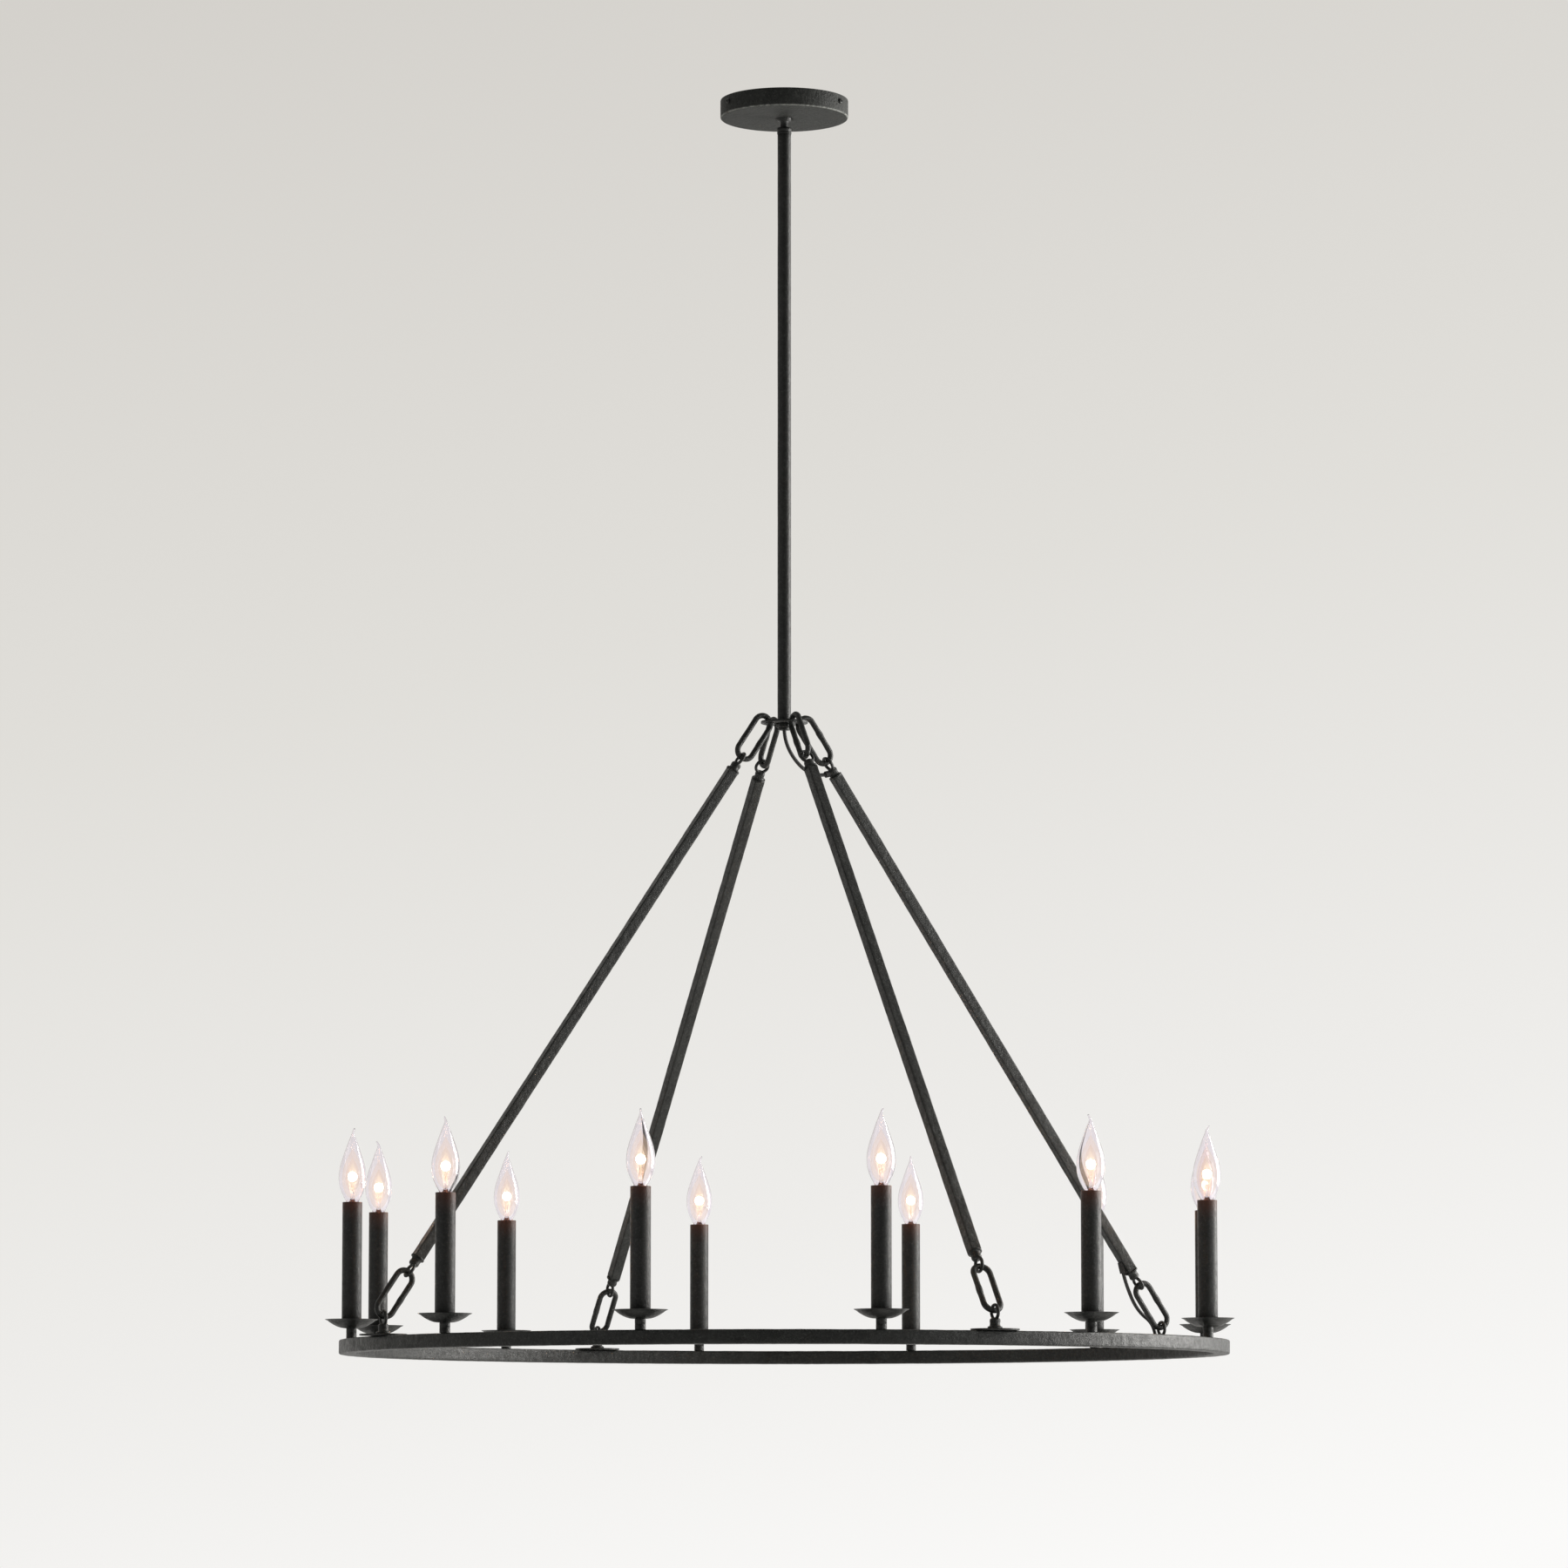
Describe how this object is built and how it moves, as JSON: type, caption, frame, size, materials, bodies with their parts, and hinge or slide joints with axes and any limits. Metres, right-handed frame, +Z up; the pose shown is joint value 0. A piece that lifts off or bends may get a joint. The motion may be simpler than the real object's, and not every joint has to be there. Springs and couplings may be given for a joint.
{
  "type": "chandelier",
  "caption": "Blackened iron ring chandelier: down rod, hooked chain links and square arms carry a ring of candle sleeves with bent-tip flame lamps.",
  "frame": {"origin": "centre of the ceiling plane under the canopy, on the rod's axis", "axes": "+Z up along the rod, +X along arm 4 that carries the flex, +Y along arm 2"},
  "size_m": [1.103, 1.103, 1.531],
  "materials": {
    "blackened_iron": "hand-rubbed black wax over mottled iron",
    "canopy_black": "satin charcoal",
    "sleeve_black": "satin black, drawn along its length",
    "zinc_steel": "zinc plated",
    "socket_plastic": "moulded, matte",
    "bush_black": "matte",
    "flex_black": "smooth sheath",
    "lamp_brass": "plain screw shell",
    "lamp_glass": "clear blown"
  },
  "bodies": {
    "ceiling_mount": {"mounting_plate": "zinc_steel", "nipple": "zinc_steel", "nipple_nut": "zinc_steel", "canopy": "canopy_black", "canopy_screws": "blackened_iron"},
    "swivel": {"swivel_cup": "blackened_iron"},
    "stem": {"stem_neck": "blackened_iron", "rod": "blackened_iron", "hub_plate": "blackened_iron", "hub_nipple": "blackened_iron", "hub_nut": "blackened_iron"},
    "arm_1": {"chain_links_1": "blackened_iron", "arm_tube_1": "blackened_iron", "arm_eyes_1": "blackened_iron"},
    "arm_2": {"chain_links_2": "blackened_iron", "arm_tube_2": "blackened_iron", "arm_eyes_2": "blackened_iron"},
    "arm_3": {"chain_links_3": "blackened_iron", "arm_tube_3": "blackened_iron", "arm_eyes_3": "blackened_iron"},
    "arm_4": {"chain_links_4": "blackened_iron", "arm_tube_4": "blackened_iron", "arm_eyes_4": "blackened_iron", "arm_bushes": "bush_black", "flex_upper": "flex_black"},
    "ring": {"ring": "blackened_iron", "foot_plates": "blackened_iron", "ring_eyes": "blackened_iron", "candle_stems": "blackened_iron", "stem_nuts": "zinc_steel", "drip_dishes": "blackened_iron", "sleeves": "sleeve_black", "sockets": "socket_plastic", "ring_bush": "bush_black", "flex_lower": "flex_black"},
    "lamp_1": {"lamp_base_1": "lamp_brass", "lamp_glass_1": "lamp_glass"},
    "lamp_2": {"lamp_base_2": "lamp_brass", "lamp_glass_2": "lamp_glass"},
    "lamp_3": {"lamp_base_3": "lamp_brass", "lamp_glass_3": "lamp_glass"},
    "lamp_4": {"lamp_base_4": "lamp_brass", "lamp_glass_4": "lamp_glass"},
    "lamp_5": {"lamp_base_5": "lamp_brass", "lamp_glass_5": "lamp_glass"},
    "lamp_6": {"lamp_base_6": "lamp_brass", "lamp_glass_6": "lamp_glass"},
    "lamp_7": {"lamp_base_7": "lamp_brass", "lamp_glass_7": "lamp_glass"},
    "lamp_8": {"lamp_base_8": "lamp_brass", "lamp_glass_8": "lamp_glass"},
    "lamp_9": {"lamp_base_9": "lamp_brass", "lamp_glass_9": "lamp_glass"},
    "lamp_10": {"lamp_base_10": "lamp_brass", "lamp_glass_10": "lamp_glass"},
    "lamp_11": {"lamp_base_11": "lamp_brass", "lamp_glass_11": "lamp_glass"},
    "lamp_12": {"lamp_base_12": "lamp_brass", "lamp_glass_12": "lamp_glass"}
  },
  "joints": [
    {"name": "swivel_turn", "type": "hinge", "parent": "ceiling_mount", "child": "swivel", "pos_m": [0, 0, 0], "axis": [0, 0, 1], "range_deg": [-170, 170]},
    {"name": "stem_tilt", "type": "hinge", "parent": "swivel", "child": "stem", "pos_m": [0, 0, -0.021], "axis": [1, 0, 0], "range_deg": [-14, 14]},
    {"name": "arm_4_sway", "type": "hinge", "parent": "stem", "child": "arm_4", "pos_m": [0.027, 0, -0.767], "axis": [0, 1, 0], "range_deg": [-6, 6], "deforming": ["flex_upper"]},
    {"name": "arm_1_sway", "type": "hinge", "parent": "stem", "child": "arm_1", "pos_m": [-0.027, 0, -0.767], "axis": [0, 1, 0], "range_deg": [-6.5, 6.5]},
    {"name": "arm_2_sway", "type": "hinge", "parent": "stem", "child": "arm_2", "pos_m": [0, 0.027, -0.767], "axis": [0, 1, 0], "range_deg": [-6.5, 6.5]},
    {"name": "arm_3_sway", "type": "hinge", "parent": "stem", "child": "arm_3", "pos_m": [0, -0.027, -0.767], "axis": [0, 1, 0], "range_deg": [-6.5, 6.5]},
    {"name": "ring_level", "type": "hinge", "parent": "arm_4", "child": "ring", "pos_m": [0.5235, 0, -1.4853], "axis": [0, 1, 0], "range_deg": [-0.4, 0.4], "deforming": ["flex_lower"]},
    {"name": "lamp_1_turn", "type": "hinge", "parent": "ring", "child": "lamp_1", "pos_m": [0.50566, 0.13549, -1.374], "axis": [0, 0, 1], "range_deg": [0, 1080]},
    {"name": "lamp_2_turn", "type": "hinge", "parent": "ring", "child": "lamp_2", "pos_m": [0.37017, 0.37017, -1.374], "axis": [0, 0, 1], "range_deg": [0, 1080]},
    {"name": "lamp_3_turn", "type": "hinge", "parent": "ring", "child": "lamp_3", "pos_m": [0.13549, 0.50566, -1.374], "axis": [0, 0, 1], "range_deg": [0, 1080]},
    {"name": "lamp_4_turn", "type": "hinge", "parent": "ring", "child": "lamp_4", "pos_m": [-0.13549, 0.50566, -1.374], "axis": [0, 0, 1], "range_deg": [0, 1080]},
    {"name": "lamp_5_turn", "type": "hinge", "parent": "ring", "child": "lamp_5", "pos_m": [-0.37017, 0.37017, -1.374], "axis": [0, 0, 1], "range_deg": [0, 1080]},
    {"name": "lamp_6_turn", "type": "hinge", "parent": "ring", "child": "lamp_6", "pos_m": [-0.50566, 0.13549, -1.374], "axis": [0, 0, 1], "range_deg": [0, 1080]},
    {"name": "lamp_7_turn", "type": "hinge", "parent": "ring", "child": "lamp_7", "pos_m": [-0.50566, -0.13549, -1.374], "axis": [0, 0, 1], "range_deg": [0, 1080]},
    {"name": "lamp_8_turn", "type": "hinge", "parent": "ring", "child": "lamp_8", "pos_m": [-0.37017, -0.37017, -1.374], "axis": [0, 0, 1], "range_deg": [0, 1080]},
    {"name": "lamp_9_turn", "type": "hinge", "parent": "ring", "child": "lamp_9", "pos_m": [-0.13549, -0.50566, -1.374], "axis": [0, 0, 1], "range_deg": [0, 1080]},
    {"name": "lamp_10_turn", "type": "hinge", "parent": "ring", "child": "lamp_10", "pos_m": [0.13549, -0.50566, -1.374], "axis": [0, 0, 1], "range_deg": [0, 1080]},
    {"name": "lamp_11_turn", "type": "hinge", "parent": "ring", "child": "lamp_11", "pos_m": [0.37017, -0.37017, -1.374], "axis": [0, 0, 1], "range_deg": [0, 1080]},
    {"name": "lamp_12_turn", "type": "hinge", "parent": "ring", "child": "lamp_12", "pos_m": [0.50566, -0.13549, -1.374], "axis": [0, 0, 1], "range_deg": [0, 1080]}
  ],
  "couplings": [
    {"joint": "arm_1_sway", "follows": "arm_4_sway", "ratio": 1},
    {"joint": "arm_2_sway", "follows": "arm_4_sway", "ratio": 1},
    {"joint": "arm_3_sway", "follows": "arm_4_sway", "ratio": 1},
    {"joint": "ring_level", "follows": "arm_4_sway", "ratio": -0.051576}
  ]
}
